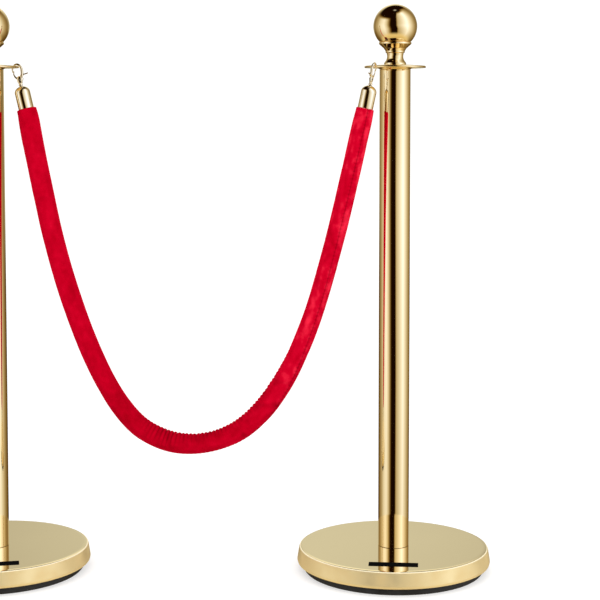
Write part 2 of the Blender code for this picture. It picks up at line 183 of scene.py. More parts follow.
# Rope. ROUTE is (along its swing axis, height), and ROPE_WIDTHS is (share of its length,
# radius in millimetres).
FERRULE_LENGTH = 0.037
ROPE_LEAD = (0.0007, 0.014)
ROUTE = [
    (-0.2700, 0.7230),
    (-0.2600, 0.6710),
    (-0.2495, 0.6190),
    (-0.2385, 0.5670),
    (-0.2255, 0.5160),
    (-0.2105, 0.4650),
    (-0.1935, 0.4150),
    (-0.1740, 0.3660),
    (-0.1515, 0.3185),
    (-0.1235, 0.2735),
    (-0.0870, 0.2368),
    (-0.0370, 0.2160),
    (0.0160, 0.2162),
    (0.0662, 0.2344),
    (0.1069, 0.2682),
    (0.1385, 0.3105),
    (0.1638, 0.3566),
    (0.1843, 0.4053),
    (0.2013, 0.4552),
    (0.2158, 0.5057),
    (0.2293, 0.5567),
    (0.2418, 0.6077),
    (0.2536, 0.6589),
    (0.2650, 0.7101),
]
ROPE_WIDTHS = [
    (0, 17.3),
    (0.13, 16.9),
    (0.26, 17.1),
    (0.37, 16.9),
    (0.46, 17.6),
    (0.53, 17.0),
    (0.60, 17.8),
    (0.64, 17.4),
    (0.68, 16.1),
    (0.75, 15.5),
    (1, 15.7),
]
ROPE_STEP = 0.0008
ROPE_SIDES = 100
CUFF_TAPER = 0.07
CUFF_LENGTH = 0.016
CUFF_HEM = 0.0016
PUCKER_PITCH = 0.0070
PUCKER_WANDER = 0.0010
STITCH_PITCH = 0.0064
CRIMP_PITCH = 0.0029

# Where the rope is bent, folded and crimped, as (share of its length, softness or width),
# and the seam's place round it, as (share of its length, angle from the inside of the bend)
BEND_START = (0.44, 0.10)
BEND_END = (0.66, 0.14)
FOLDS_PLACE = (0.46, 0.026)
CRIMPS_PLACE = (0.512, 0.02)
SEAM_LINE = [(0, 4.2), (0.35, 3.6), (0.55, 2.9), (0.7, 2.1), (0.85, 1.9), (1, 1.95)]

# Patterns of the sleeve, as (depth in millimetres, strength of the painted shade in its valleys)
LUMP_HEIGHT = 0.35
RELIEF = {
    "gathers": (2.2, 0.75),
    "folds": (0.7, 0.95),
    "crimps": (0.25, 0.3),
    "stitches": (0.5, 0.4),
    "groove": (0.6, 0.6),
    "creases": (1.1, 1.2),
}

# Hook, in millimetres. Bars are (x, z, half of the thickness).
CLAW = [
    (4.2, 15.0, 2.51),
    (6.3, 19.0, 2.39),
    (7.2, 24.0, 2.28),
    (7.2, 29.2, 2.05),
    (5.6, 33.9, 1.77),
    (1.2, 36.8, 1.60),
    (-3.5, 35.4, 1.48),
    (-7.0, 30.6, 1.37),
    (-8.0, 25.6, 1.03),
]
TRIGGER_GATE = [
    (-5.7, 26.2, 0.85),
    (-6.8, 23.0, 1.03),
    (-6.8, 19.9, 1.25),
    (-5.2, 16.1, 1.48),
    (-2.0, 12.8, 1.71),
    (1.5, 10.5, 1.82),
]
TRIGGER_TAIL = [
    (1.5, 10.5, 1.6),
    (4.2, 13.2, 1.4),
    (6.2, 16.4, 1.2),
    (9.0, 18.2, 1.0),
    (12.5, 18.4, 1.0),
    (15.9, 19.0, 0.9),
]
SPRING_LEAF = [
    (-2.4, 7.0),
    (-0.6, 6.2),
    (2.0, 6.1),
    (4.2, 7.1),
    (5.4, 8.8),
    (6.3, 10.3),
    (7.3, 11.6),
    (8.1, 12.3),
]
PIVOT = (1.5, 10.5)
BODY_CENTRE = (0.5, 10.5)
BODY_HALF = (5.3, 2.5, 7.5)
SHANK_RADIUS = 2.0
TRIGGER_SLOT = ((-12, -1.2, 5.5), (12, 1.2, 20.3))
TRIGGER_HUB = [(0, 1.6), (3.2, 1.6), (3.2, -1.6), (0, -1.6)]
TRIGGER_HALF = 0.9
PIN_BORE = [(0, 5), (1.3, 5), (1.3, -5), (0, -5)]
LEAF_HALF_THICKNESS = 0.25
LEAF_HALF_WIDTH = 0.75
VOXEL = 0.28 * MM
HOOK_PIECES = ("hook", "pin", "collar", "leaf", "gate_lever")

# Ferrule, in millimetres
CAP_LENGTH = 37.5
CAP_RADIUS = 12.6
CAP_WALL = 1.3
CAP_CROWN = 10.5
CAP_HOLE = SHANK_RADIUS + 0.4
CAP_STEPS = 24

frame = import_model()
JOINTS = {joint["name"]: joint for joint in frame["joints"]}
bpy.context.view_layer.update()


# ---------------------------------------------------------------- materials


class Finish:
    """A Principled material, and short ways to wire procedural detail into it."""

    def __init__(self, name, **sockets):
        self.material = bpy.data.materials.new(name)
        self.material.use_nodes = True
        self.tree = self.material.node_tree
        self.shader = self.tree.nodes["Principled BSDF"]
        self.place = self.tree.nodes.new("ShaderNodeTexCoord").outputs["Object"]
        for socket, value in sockets.items():
            self.shader.inputs[socket.replace("_", " ")].default_value = value

    def add(self, kind, settings=None, **inputs):
        """A new node, its settings, and its inputs as values or as outputs to link."""
        node = self.tree.nodes.new(kind)
        for name, value in (settings or {}).items():
            setattr(node, name, value)
        for name, value in inputs.items():
            socket = node.inputs[name.replace("_", " ")]
            if isinstance(value, bpy.types.NodeSocket):
                self.tree.links.new(value, socket)
            else:
                socket.default_value = value
        return node

    def noise(self, scale, detail=3.0, stretch=(1, 1, 1)):
        """Noise with about this many features in a metre."""
        mapping = self.add("ShaderNodeMapping", Vector=self.place, Scale=stretch)
        settings = {"noise_dimensions": "3D"}
        where = mapping.outputs["Vector"]
        node = self.add("ShaderNodeTexNoise", settings, Vector=where, Scale=scale, Detail=detail)
        return node.outputs["Fac"]

    def spread(self, source, low, high, start=0.3, end=0.7):
        """The source, spread from low to high."""
        limits = {"From_Min": start, "From_Max": end, "To_Min": low, "To_Max": high}
        node = self.add("ShaderNodeMapRange", Value=source, **limits)
        return node.outputs["Result"]

    def ramp(self, source, *stops):
        """A colour for the source, through stops of (position, colour)."""
        node = self.add("ShaderNodeValToRGB", Fac=source)
        elements = node.color_ramp.elements
        while len(elements) < len(stops):
            elements.new(0.5)
        for element, (position, colour) in zip(elements, stops):
            element.position = position
            element.color = (*colour, 1.0)
        return node.outputs["Color"]

    def bump(self, *layers):
        """Stacks bumps of (height source, depth in metres) on the shader's normal."""
        normal = None
        for source, depth in layers:
            node = self.add("ShaderNodeBump", Height=source, Distance=depth, Strength=1.0)
            if normal is not None:
                self.tree.links.new(normal, node.inputs["Normal"])
            normal = node.outputs["Normal"]
        self.set(Normal=normal)

    def set(self, **links):
        """Links outputs to the shader's inputs."""
        for name, source in links.items():
            self.tree.links.new(source, self.shader.inputs[name.replace("_", " ")])


def gold_finish(
    name, roughest, grain, smudge_scale=26.0, stretch=(1, 1, 1), metallic=1.0, colour=GOLD
):
    """Gold plate: handling marks change its gloss, and the plating has a faint grain."""
    finish = Finish(name, Metallic=metallic)
    broad = finish.noise(5.0, 2.0)
    gold = finish.ramp(broad, (0.3, colour), (0.7, tuple(0.97 * part for part in colour)))
    smudges = finish.spread(finish.noise(smudge_scale, 7.0, stretch), 0.55 * roughest, roughest)
    finish.set(Base_Color=gold, Roughness=smudges)
    finish.bump((finish.noise(11.0, 1.0), 0.00006), (finish.noise(1600.0, 3.0, stretch), grain))
    return finish.material


def steel_finish():
    finish = Finish("zinc_steel", Metallic=1.0)
    spots = finish.noise(260.0, 4.0)
    zinc = finish.ramp(spots, (0.35, (0.52, 0.52, 0.50)), (0.65, (0.70, 0.69, 0.64)))
    finish.set(Base_Color=zinc, Roughness=finish.spread(spots, 0.25, 0.45))
    finish.bump((finish.noise(900.0, 3.0), 0.00001))
    return finish.material


def iron_finish():
    finish = Finish("cast_iron", Metallic=0.5)
    sand = finish.noise(420.0, 6.0)
    iron = finish.ramp(sand, (0.3, (0.045, 0.045, 0.047)), (0.7, (0.12, 0.12, 0.12)))
    finish.set(Base_Color=iron, Roughness=finish.spread(sand, 0.6, 0.85))
    finish.bump((sand, 0.0004))
    return finish.material


def rubber_finish():
    """Moulded rubber: nearly black, greyed by handling, with a fine matt grain."""
    finish = Finish("black_rubber", Specular_IOR_Level=0.35)
    dust = finish.noise(45.0, 6.0)
    black = finish.ramp(dust, (0.35, (0.008, 0.008, 0.009)), (0.72, (0.022, 0.022, 0.023)))
    finish.set(Base_Color=black, Roughness=finish.spread(dust, 0.5, 0.72))
    finish.bump((finish.noise(1900.0, 3.0), 0.00005))
    return finish.material


def label_finish():
    """Black lacquered plate, with the fine lines of its rolled sheet."""
    finish = Finish("black_label", Specular_IOR_Level=0.0)
    lines = finish.noise(900.0, 4.0, (0.04, 1, 1))
    black = finish.ramp(lines, (0.3, (0.002, 0.002, 0.002)), (0.7, (0.006, 0.006, 0.006)))
    finish.set(Base_Color=black, Roughness=finish.spread(lines, 0.3, 0.42))
    finish.bump((lines, 0.000004))
    return finish.material


def cotton_finish():
    finish = Finish("cotton_core", Roughness=0.95, Sheen_Weight=0.4)
    yarn = finish.noise(1100.0, 4.0, (1, 1, 0.3))
    finish.set(Base_Color=finish.ramp(yarn, (0.3, (0.55, 0.50, 0.41)), (0.7, (0.80, 0.76, 0.66))))
    finish.bump((yarn, 0.0004))
    return finish.material


def velvet_finish():
    """Red velvet: light and dark in patches with a painted highlight down one edge, and painted shade
    deep red in the folds' valleys.
    """
    finish = Finish("red_velvet", Roughness=0.85, Specular_IOR_Level=0.0)
    sheen = {"Sheen Weight": 0.55, "Sheen Roughness": 0.34, "Sheen Tint": (1.0, 0.035, 0.085, 1.0)}
    for socket, value in sheen.items():
        finish.shader.inputs[socket].default_value = value
    pile = finish.noise(1500.0, 2.0)
    patches = finish.noise(120.0, 5.0)
    nap_and_sheen = finish.add("ShaderNodeAttribute", {"attribute_name": "nap_and_sheen"}).outputs["Fac"]
    fold_shade = finish.add("ShaderNodeAttribute", {"attribute_name": "fold_shade"}).outputs["Fac"]
    stroked = finish.add("ShaderNodeMix", {"data_type": "FLOAT"})
    stroked.inputs[0].default_value = 0.3
    # colour for the patches and the painted edge highlight, pink at its lightest
    patch_and_sheen_colour = finish.ramp(
        stroked.outputs[0],
        (0.25, (0.35, 0.0, 0.007)),
        (0.48, (0.49, 0.0, 0.013)),
        (0.64, (0.58, 0.001, 0.019)),
        (0.84, (0.84, 0.018, 0.052)),
    )
    fibre = finish.ramp(pile, (0.3, (0.82, 0.82, 0.82)), (0.7, (1.0, 1.0, 1.0)))
    lit = finish.add("ShaderNodeMix", {"data_type": "RGBA", "blend_type": "MULTIPLY"})
    deep = finish.add("ShaderNodeMix", {"data_type": "RGBA"})
    lit.inputs[0].default_value = 1.0
    # painted shade: the colour is mixed toward this deep red in the folds' valleys
    deep.inputs[7].default_value = (0.20, 0.0, 0.004, 1.0)
    links = (
        (nap_and_sheen, stroked.inputs[2]),
        (patches, stroked.inputs[3]),
        (patch_and_sheen_colour, lit.inputs[6]),
        (fibre, lit.inputs[7]),
        (lit.outputs[2], deep.inputs[6]),
        (fold_shade, deep.inputs[0]),
    )
    for source, socket in links:
        finish.tree.links.new(source, socket)
    finish.set(Base_Color=deep.outputs[2])
    finish.bump((patches, 0.00025), (pile, 0.0003))
    return finish.material


FINISHES = {
    "polished": gold_finish("polished_gold", 0.075, 0.0000012),
    "tube": gold_finish("drawn_gold_tube", 0.07, 0.0000010, stretch=(1, 1, 0.02)),
    "pale": gold_finish("pale_polished_gold", 0.08, 0.0000012, colour=PALE_GOLD),
    "satin": gold_finish("satin_gold_wall", 0.78, 0.000003, metallic=0.8, colour=DEEP_GOLD),
    # painted highlight: the base's top edge, nearly non-metallic so it lights up as a bright line
    "painted_edge_highlight": gold_finish("gold_painted_edge_highlight", 0.6, 0.000003, metallic=0.1, colour=EDGE_HIGHLIGHT_GOLD),
    "cast": gold_finish("cast_gold", 0.12, 0.000012, smudge_scale=220.0, colour=PALE_GOLD),
    "steel": steel_finish(),
    "iron": iron_finish(),
    "rubber": rubber_finish(),
    "label": label_finish(),
    "velvet": velvet_finish(),
    "cotton": cotton_finish(),
}


# ---------------------------------------------------------------- shapes


def rounded(corners, arc_steps=8):
    """The outline through corners (x, z, radius), each one rounded to its radius."""
    points = []
    for index, (x, z, radius) in enumerate(corners):
        corner = Vector((x, z))
        if radius == 0:
            points.append((x, z))
            continue
        back = (Vector(corners[index - 1][:2]) - corner).normalized()
        ahead = (Vector(corners[(index + 1) % len(corners)][:2]) - corner).normalized()
        half = back.angle(ahead) / 2
        centre = corner + (back + ahead).normalized() * radius / math.sin(half)
        start = corner + back * radius / math.tan(half) - centre
        end = corner + ahead * radius / math.tan(half) - centre
        sweep = math.atan2(start.x * end.y - start.y * end.x, start.dot(end))
        for step in range(arc_steps + 1):
            angle = math.atan2(start.y, start.x) + sweep * step / arc_steps
            points.append((centre.x + radius * math.cos(angle), centre.y + radius * math.sin(angle)))
    return points


def smooth(points, steps):
    """Points read from a smooth curve through the given ones (Catmull-Rom)."""
    vectors = [Vector(point) for point in points]
    ends = [2 * vectors[0] - vectors[1], *vectors, 2 * vectors[-1] - vectors[-2]]
    found = []
    for a, b, c, d in zip(ends, ends[1:], ends[2:], ends[3:]):
        for step in range(steps):
            t = step / steps
            straight = 2 * b + (c - a) * t
            square = (2 * a - 5 * b + 4 * c - d) * t**2
            cube = (3 * b - a - 3 * c + d) * t**3
            found.append((straight + square + cube) / 2)
    return [*found, vectors[-1]]


def from_shape(name, shape, sharp_angle=32.0):
    """A new object of a bmesh, shaded smooth but for its sharp edges."""
    bmesh.ops.recalc_face_normals(shape, faces=shape.faces)
    mesh = bpy.data.meshes.new(name)
    shape.to_mesh(mesh)
    shape.free()
    mesh.shade_smooth()
    mesh.set_sharp_from_angle(angle=math.radians(sharp_angle))
    obj = bpy.data.objects.new(name, mesh)
    bpy.context.scene.collection.objects.link(obj)
    return obj


def turned_shape(profile, segments, ring=True):
    """A bmesh turned about Z from points of (radius, height) in millimetres."""
    shape = bmesh.new()
    loops = []
    for step in range(segments):
        angle = 2 * math.pi * step / segments
        across = (math.cos(angle) * MM, math.sin(angle) * MM)
        loops.append([shape.verts.new((r * across[0], r * across[1], z * MM)) for r, z in profile])
    count = len(profile) if ring else len(profile) - 1
    for here, after in zip(loops, [*loops[1:], loops[0]]):
        for index in range(count):
            following = (index + 1) % len(profile)
            shape.faces.new((here[index], here[following], after[following], after[index]))
    bmesh.ops.remove_doubles(shape, verts=shape.verts, dist=0.000001)
    return shape


def turned(name, profile, segments=WIDE, ring=True):
    return from_shape(name, turned_shape(profile, segments, ring))


def finished(obj, finish, body, slot, *nodes):
    """Gives a piece its material and body, and says which CAD nodes it stands for."""
    obj.data.materials.clear()
    obj.data.materials.append(FINISHES[finish])
    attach(obj, body)
    if nodes:
        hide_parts(*nodes)
    return obj


def modified(obj):
    """Applies the object's modifiers."""
    graph = bpy.context.evaluated_depsgraph_get()
    mesh = bpy.data.meshes.new_from_object(obj.evaluated_get(graph))
    obj.modifiers.clear()
    obj.data = mesh
    return obj


def combined(obj, others, operation):
    """Joins or cuts with the other objects, which are removed."""
    for other in others:
        boolean = obj.modifiers.new(other.name, "BOOLEAN")
        boolean.object = other
        boolean.operation = operation
    bpy.context.view_layer.update()
    modified(obj)
    for other in others:
        bpy.data.objects.remove(other)
    return obj


def resmoothed(obj, angle=32.0):
    obj.data.shade_smooth()
    obj.data.set_sharp_from_angle(angle=math.radians(angle))


# ---------------------------------------------------------------- posts


def make_base(side, x):
    boot = rounded(
        [
            (149, 12.6, 0.8),
            (149, 2.0, 0),
            (147.6, 1.2, 0.5),
            (147.6, 0, 0.8),
            (139, 0, 0.8),
            (139, 1.2, 0),
            (26, 1.2, 0.5),
            (24, 1.2, 0.5),
            (24, 3, 0),
            (137, 3, 0),
            (137, 12.6, 0),
        ]
    )
    boot = turned(f"{side}_boot", boot)
    boot.location.x = x
    finished(boot, "rubber", "posts", "rubber", f"{side}_rubber_boot")

    shoulder = smooth(BASE_SHOULDER, 6)
    wall = rounded(
        [
            (157.4, 35.6, 0),
            (160.4, 17.0, 4.0),
            (159.2, 13.0, 1.0),
            (156.8, 13.0, 0),
            (158.7, 17.5, 1.5),
            (155.3, BASE_TOP - 2.5, 2),
            (7, BASE_TOP - 1.5, 0),
            (7, BASE_TOP, 0),
        ]
    )
    wall = [*wall[1:], *[tuple(point) for point in shoulder]]
    cover = turned(f"{side}_cover", wall)
    cover.location.x = x
    finished(cover, "pale", "posts", "gold", f"{side}_base_cover")
    cover.data.materials.append(FINISHES["satin"])
    cover.data.materials.append(FINISHES["painted_edge_highlight"])
    # the rim's steep wall takes the satin gold, and the band round its top edge a painted highlight of
    # near-diffuse gold
    for face in cover.data.polygons:
        on_rim = face.center.xy.length > RIM_RADIUS * MM and face.center.z > RIM_HEIGHT * MM
        if on_rim and face.normal.z < WALL_SLOPE:
            face.material_index = 1
        elif on_rim and face.normal.z < HIGHLIGHT_EDGE_SLOPE:
            face.material_index = 2

    low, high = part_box(f"{side}_base_label")
    plate = bmesh.new()
    bmesh.ops.create_cube(plate, size=1.0)
    bmesh.ops.scale(plate, verts=plate.verts, vec=Vector(LABEL_SIZE) * MM)
    upright = [edge for edge in plate.edges if abs(edge.verts[0].co.z - edge.verts[1].co.z) > 0.0001]
    bmesh.ops.bevel(plate, geom=upright, offset=1.6 * MM, segments=6, affect="EDGES", profile=0.5)
    rim = [edge for edge in plate.edges if min(vert.co.z for vert in edge.verts) > 0.0001]
    bmesh.ops.bevel(plate, geom=rim, offset=0.12 * MM, segments=2, affect="EDGES", profile=0.5)
    label = from_shape(f"{side}_blank_plate", plate)
    label.location = (low + high) / 2
    label.rotation_euler.z = math.radians(LABEL_TURN[side])
    label.visible_glossy = False  # the gold doesn't mirror the plate
    finished(label, "label", "posts", "label", f"{side}_base_label")


def make_tube(side, x):
    low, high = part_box(f"{side}_post_tube")
    outer = (high.x - low.x) / 2 / MM
    inner = outer - TUBE_WALL
    bottom, top = low.z / MM, high.z / MM
    profile = rounded([(outer, top, 0.4), (outer, bottom, 0.5), (inner, bottom, 0), (inner, top, 0)], 4)
    tube = turned(f"{side}_tube", profile)
    tube.location.x = x
    finished(tube, "tube", "posts", "gold", f"{side}_post_tube")


def make_ring_plate(side, x):
    """A disc with a thick hub, a rounded rim and four holes with eased edges."""
    profile = rounded(
        [
            (31.0, 838.0, 2.0),
            (34.5, 836.7, 2.0),
            (50.5, 836.7, 1.6),
            (50.5, 833.2, 1.5),
            (28.0, 833.2, 1.5),
            (25.4, 831.0, 0.3),
            (5.4, 831.0, 0),
            (5.4, 838.0, 0),
        ]
    )
    plate = turned(f"{side}_plate", profile)
    eased = rounded(
        [
            (0, 845, 0),
            (HOLE_RADIUS + 6, 845, 0),
            (HOLE_RADIUS + 0.7, 836.9, 0),
            (HOLE_RADIUS, 836.2, 0.8),
            (HOLE_RADIUS, 833.7, 0.8),
            (HOLE_RADIUS + 0.7, 833.0, 0),
            (HOLE_RADIUS + 6, 825, 0),
            (0, 825, 0),
        ],
        4,
    )
    drills = []
    for index in range(4):
        angle = math.radians(PLATE_TURN[side] + 90 * index)
        drill = turned(f"{side}_drill_{index}", eased, 48, ring=False)
        drill.location = Vector((math.cos(angle), math.sin(angle), 0)) * HOLE_CIRCLE * MM
        drills.append(drill)
    combined(plate, drills, "DIFFERENCE")
    resmoothed(plate)
    plate.location.x = x
    finished(plate, "polished", "posts", "gold", f"{side}_ring_plate")


def make_finial(side, x):
    seat_radius = BALL_RADIUS + SEAT_CLEARANCE
    least, most = SEAT_ANGLES
    steps = range(SEAT_STEPS, -1, -1)
    seat_angles = [math.radians(least + (most - least) * step / SEAT_STEPS) for step in steps]
    seat = [(seat_radius * math.sin(a), BALL_CENTRE - seat_radius * math.cos(a)) for a in seat_angles]
    outside = rounded(
        [
            (*seat[0], 0),
            (26.7, 875.2, 0.6),
            (26.7, 872.4, 1.2),
            (18.8, 865.4, 6.0),
            (15.9, 861.0, 1.2),
            (15.9, 858.5, 1.2),
            (14.2, 857.7, 0.8),
            (12.4, 849.5, 12),
            (18.2, 841.4, 1.0),
            (18.2, 838.3, 0.4),
            (5.4, 838.3, 0),
            (5.4, 865.7, 0),
        ],
        10,
    )
    neck = turned(f"{side}_neck", [*outside[1:], *reversed(seat[1:])], NARROW)
    neck.location.x = x
    finished(neck, "polished", "posts", "gold", f"{side}_finial_neck")

    mouth = math.radians(BALL_MOUTH)
    angles = [math.pi - (math.pi - mouth) * step / BALL_STEPS for step in range(BALL_STEPS + 1)]
    inner = BALL_RADIUS - BALL_WALL
    shell = [(BALL_RADIUS * math.sin(a), BALL_CENTRE - BALL_RADIUS * math.cos(a)) for a in angles]
    shell += [(inner * math.sin(a), BALL_CENTRE - inner * math.cos(a)) for a in reversed(angles)]
    ball = turned(f"{side}_ball", shell, NARROW, ring=False)
    ball.location.x = x
    finished(ball, "polished", "posts", "gold", f"{side}_finial_ball")


# ---------------------------------------------------------------- hooks


def hook_frame(side):
    """The hook's frame, from its swivel's and its trigger's joint axes."""
    up = Vector(JOINTS[f"{side}_hook_swivel"]["axis"]).normalized()
    across = Vector(JOINTS[f"{side}_trigger_pivot"]["axis"]).normalized()
    along = across.cross(up)
    place = Matrix.Translation(JOINTS[f"{side}_hook_swivel"]["pos_m"])
    return place @ Matrix((along, across, up)).transposed().to_4x4()


def bar(name, points, sides=24, steps=8):
    """A round bar with a domed end, along points of (x, z, radius) in millimetres."""
    shape = bmesh.new()
    middle = smooth(points, steps)
    rings = []
    for index, point in enumerate(middle):
        along = (middle[min(index + 1, len(middle) - 1)] - middle[max(index - 1, 0)]).xy.normalized()
        across = Vector((-along.y, 0, along.x))
        centre = Vector((point.x, 0, point.y))
        ring = []
        for side in range(sides):
            angle = 2 * math.pi * side / sides
            spoke = across * math.cos(angle) + Vector((0, 1, 0)) * math.sin(angle)
            ring.append(shape.verts.new((centre + spoke * point.z) * MM))
        rings.append(ring)
    for here, after in zip(rings, rings[1:]):
        for side in range(sides):
            following = (side + 1) % sides
            shape.faces.new((here[side], here[following], after[following], after[side]))
    shape.faces.new(rings[0])
    shape.faces.new(rings[-1])
    return from_shape(name, shape)


def ball_at(name, centre, half):
    """An ellipsoid at (x, z), with its half sizes, in millimetres."""
    shape = bmesh.new()
    bmesh.ops.create_uvsphere(shape, u_segments=32, v_segments=20, radius=1.0)
    bmesh.ops.scale(shape, verts=shape.verts, vec=Vector(half) * MM)
    bmesh.ops.translate(shape, verts=shape.verts, vec=(centre[0] * MM, 0, centre[1] * MM))
    return from_shape(name, shape)


def block(name, low, high):
    """A box between two corners, in millimetres."""
    shape = bmesh.new()
    bmesh.ops.create_cube(shape, size=MM)
    bmesh.ops.scale(shape, verts=shape.verts, vec=Vector(high) - Vector(low))
    bmesh.ops.translate(shape, verts=shape.verts, vec=(Vector(high) + Vector(low)) / 2 * MM)
    return from_shape(name, shape)


def cross_pin(name, profile, segments=32):
    """A turned piece along the pivot's axis, from (radius, place across the hook)."""
    shape = turned_shape(profile, segments, ring=False)
    bmesh.ops.rotate(shape, verts=shape.verts, matrix=Matrix.Rotation(math.radians(90), 3, "X"))
    bmesh.ops.translate(shape, verts=shape.verts, vec=(PIVOT[0] * MM, 0, PIVOT[1] * MM))
    return from_shape(name, shape)


def melted(obj, others, voxel=VOXEL, rounds=3):
    """One smooth casting of several overlapping solids."""
    combined(obj, others, "UNION")
    remesh = obj.modifiers.new("Cast", "REMESH")
    remesh.mode = "VOXEL"
    remesh.voxel_size = voxel
    soften = obj.modifiers.new("Soften", "SMOOTH")
    soften.factor = 0.5
    soften.iterations = rounds
    return modified(obj)


def flattened(obj, half):
    """Squeezes the object's thickness to the given half thickness, keeping its edges round."""
    for vert in obj.data.vertices:
        share = abs(vert.co.y) / (half * MM)
        vert.co.y = math.copysign(half * MM * math.tanh(share), vert.co.y)
    return obj


def make_hook(side):
    """The casting with its claw and swivel shank, and the rivet, collar and leaf spring on it."""
    place = hook_frame(side)
    body = ball_at(f"{side}_hook", BODY_CENTRE, BODY_HALF)
    shank_profile = rounded(
        [
            (0, 6, 0),
            (2.6, 5.4, 0.4),
            (2.2, 4.0, 0.6),
            (3.3, 3.2, 0.6),
            (3.3, 0.9, 0.6),
            (SHANK_RADIUS, 0.3, 0.2),
        ],
        4,
    )
    shank = turned(f"{side}_shank", [*shank_profile, (SHANK_RADIUS, -5.2), (0, -5.2)], 32, ring=False)
    claw = bar(f"{side}_claw", CLAW)
    tip = ball_at(f"{side}_tip", CLAW[-1][:2], (CLAW[-1][2],) * 3)
    melted(body, [shank, claw, tip])
    slot = block(f"{side}_slot", *TRIGGER_SLOT)
    bore = cross_pin(f"{side}_bore", PIN_BORE)
    combined(body, [slot, bore], "DIFFERENCE")
    resmoothed(body, 38)
    body.matrix_world = place
    finished(body, "cast", f"{side}_hook", "gold", f"{side}_hook_body")

    rivet = rounded(
        [
            (0, 2.95, 0),
            (1.6, 2.95, 0.45),
            (1.9, 2.62, 0),
            (1.0, 2.62, 0),
            (1.0, -2.62, 0),
            (1.9, -2.62, 0),
            (1.6, -2.95, 0.45),
            (0, -2.95, 0),
        ],
        4,
    )
    pin = cross_pin(f"{side}_pin", rivet)
    pin.matrix_world = place
    finished(pin, "steel", f"{side}_hook", "steel", f"{side}_trigger_pin")

    collar = rounded([(5, -2.8, 0.3), (5, -4.8, 0.3), (2.3, -4.8, 0), (2.3, -2.8, 0)], 4)
    collar = turned(f"{side}_collar", collar, 48)
    collar.matrix_world = place
    finished(collar, "steel", f"{side}_hook", "steel", f"{side}_swivel_collar")

    leaf = bar(f"{side}_leaf", [(x, z, LEAF_HALF_THICKNESS) for x, z in SPRING_LEAF], 12)
    for vert in leaf.data.vertices:
        vert.co.y *= LEAF_HALF_WIDTH / LEAF_HALF_THICKNESS
    leaf.matrix_world = place
    finished(leaf, "steel", f"{side}_hook", "steel", f"{side}_trigger_spring")


def make_trigger(side):
    """The gate and its thumb tail, one flat lever with an eye for the rivet."""
    gate = bar(f"{side}_gate_lever", TRIGGER_GATE)
    tail = bar(f"{side}_tail", TRIGGER_TAIL)
    hub = cross_pin(f"{side}_hub", TRIGGER_HUB)
    ends = (TRIGGER_GATE[0], TRIGGER_TAIL[-1])
    tips = [ball_at(f"{side}_end_{index}", end[:2], (end[2],) * 3) for index, end in enumerate(ends)]
    melted(gate, [tail, hub, *tips], VOXEL * 0.8)
    flattened(gate, TRIGGER_HALF)
    combined(gate, [cross_pin(f"{side}_eye", PIN_BORE)], "DIFFERENCE")
    resmoothed(gate, 38)
    gate.matrix_world = hook_frame(side)
    finished(gate, "cast", f"{side}_trigger", "gold", f"{side}_trigger")


def crown_arc(outer, height, top, hole):
    """The side of a domed crown, from the edge of the hole in its top down to its rim."""
    angles = [math.pi / 2 * step / CAP_STEPS for step in range(CAP_STEPS + 1)]
    arc = [(outer * math.sin(a), top - height * (1 - math.cos(a))) for a in angles]
    edge = top - height * (1 - math.sqrt(1 - (hole / outer) ** 2))
    return [(hole, edge), *[point for point in arc if point[0] > hole + 0.3]]


def make_ferrule(side):
    """A drawn bullet cap with a rolled mouth and the swivel's hole in its crown."""
    bore = CAP_RADIUS - CAP_WALL
    mouth = rounded(
        [(CAP_RADIUS, -30, 0), (CAP_RADIUS, -CAP_LENGTH, 0.5), (bore, -CAP_LENGTH, 0.5), (bore, -30, 0)],
        4,
    )
    outside = crown_arc(CAP_RADIUS, CAP_CROWN, 0, CAP_HOLE)
    inside = crown_arc(bore, CAP_CROWN - CAP_WALL, -CAP_WALL, CAP_HOLE)
    profile = [*outside, *mouth[1:-1], *reversed(inside)]
    ferrule = turned(f"{side}_end_cap", profile, NARROW)
    ferrule.matrix_world = hook_frame(side)
    finished(ferrule, "pale", "rope", "gold", f"{side}_ferrule")
    return ferrule


# ---------------------------------------------------------------- rope


def rope_line():
    """Points along the rope's centreline, evenly spaced."""
    swing = JOINTS["rope_swing"]
    origin, along = Vector(swing["pos_m"]), Vector(swing["axis"]).normalized()
    leads = {}
    for side in SIDES:
        place = hook_frame(side)
        leads[side] = [place @ Vector((0, 0, -FERRULE_LENGTH - lead)) for lead in ROPE_LEAD]
    middle = [Vector((origin.x + along.x * a, origin.y + along.y * a, z)) for a, z in ROUTE]
    line = np.array(smooth([*leads["left"], *middle, *reversed(leads["right"])], 24))
    run = np.concatenate([[0], np.cumsum(np.linalg.norm(np.diff(line, axis=0), axis=1))])
    even = np.linspace(0, run[-1], int(run[-1] / ROPE_STEP))
    return np.stack([np.interp(even, run, line[:, k]) for k in range(3)], axis=1), even


def bell(value, centre, width):
    """1 at the centre, falling to nothing over about twice the width on each side."""
    return np.exp(-(((value - centre) / width) ** 2))


def fade(value, middle, softness):
    """0 below the middle and 1 above it, changing smoothly over the softness."""
    share = np.clip((value - middle) / softness + 0.5, 0, 1)
    return share * share * (3 - 2 * share)


def valleys(run, pitch, sharpness):
    """1 in the narrow valleys between round folds, and 0 on the folds."""
    return (1 - np.abs(np.sin(math.pi * run / pitch)) ** sharpness)[:, None]


def cloud(run, angles, along, around, seed):
    """Noise over the sleeve, in a row for each place along it."""
    ways = [(seed + around * math.cos(angle), around * math.sin(angle)) for angle in angles]
    return np.array([[noise.noise((place * along, *way)) for way in ways] for place in run])


